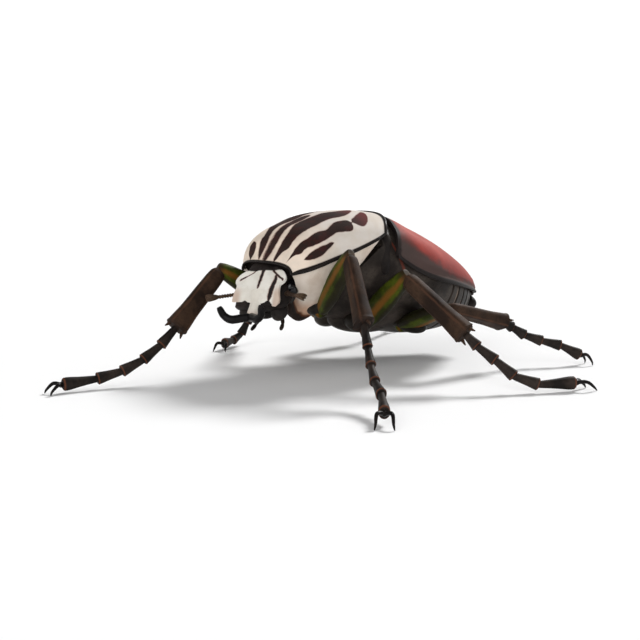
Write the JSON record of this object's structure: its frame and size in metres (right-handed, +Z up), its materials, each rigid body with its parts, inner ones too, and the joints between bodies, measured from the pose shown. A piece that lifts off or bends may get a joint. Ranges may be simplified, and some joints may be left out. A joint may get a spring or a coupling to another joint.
{
  "type": "goliath beetle model",
  "caption": "Still, life-size goliath beetle standing on six spread legs: striped domed pronotum, rounded wing cases, turned head with a forked horn and clubbed antennae",
  "frame": {"origin": "centre of the bounding box's bottom face, on the floor that the claws stand on", "axes": "+Z up; the beetle faces -Y and its left side is +X; the longest extent, from the reaching fore foot to the hind foot, is along Y"},
  "size_m": [0.1136, 0.1398, 0.0431],
  "materials": {
    "cream_shell": "satin chitin, chalky cream with dark brown stripes",
    "red_brown_shell": "satin chitin, salmon red darkening to maroon and grey at the shoulders and edges",
    "maroon_shell": "satin chitin, maroon brown",
    "grey_black_shell": "satin chitin, grey black",
    "green_shell": "satin chitin, olive green with an orange-brown stripe and dark edges",
    "dark_brown_shell": "satin chitin, dark brown with rust edges",
    "brown_black_shell": "satin chitin, brown black with rust rims",
    "black_horn": "polished black chitin",
    "eye_black": "glossy black"
  },
  "bodies": {
    "root": {"abdomen": "grey_black_shell", "antenna_left": "dark_brown_shell", "antenna_right": "dark_brown_shell", "claws_fore_left": "black_horn", "claws_fore_right": "black_horn", "claws_hind_left": "black_horn", "claws_hind_right": "black_horn", "claws_mid_left": "black_horn", "claws_mid_right": "black_horn", "coxa_fore_left": "grey_black_shell", "coxa_fore_right": "grey_black_shell", "coxa_hind_left": "grey_black_shell", "coxa_hind_right": "grey_black_shell", "coxa_mid_left": "grey_black_shell", "coxa_mid_right": "grey_black_shell", "elytron_left": "red_brown_shell", "elytron_right": "red_brown_shell", "eye_left": "eye_black", "eye_right": "eye_black", "femur_fore_left": "green_shell", "femur_fore_right": "green_shell", "femur_hind_left": "green_shell", "femur_hind_right": "green_shell", "femur_mid_left": "green_shell", "femur_mid_right": "green_shell", "head": "cream_shell", "horn_left": "black_horn", "horn_right": "black_horn", "mesepimeron_left": "grey_black_shell", "mesepimeron_right": "grey_black_shell", "mouthparts": "dark_brown_shell", "palp_left": "dark_brown_shell", "palp_right": "dark_brown_shell", "prothorax": "cream_shell", "pygidium": "grey_black_shell", "scutellum": "maroon_shell", "tarsus_fore_left": "brown_black_shell", "tarsus_fore_right": "brown_black_shell", "tarsus_hind_left": "brown_black_shell", "tarsus_hind_right": "brown_black_shell", "tarsus_mid_left": "brown_black_shell", "tarsus_mid_right": "brown_black_shell", "thorax_underside": "grey_black_shell", "tibia_fore_left": "dark_brown_shell", "tibia_fore_right": "dark_brown_shell", "tibia_hind_left": "dark_brown_shell", "tibia_hind_right": "dark_brown_shell", "tibia_mid_left": "dark_brown_shell", "tibia_mid_right": "dark_brown_shell"}
  },
  "joints": []
}
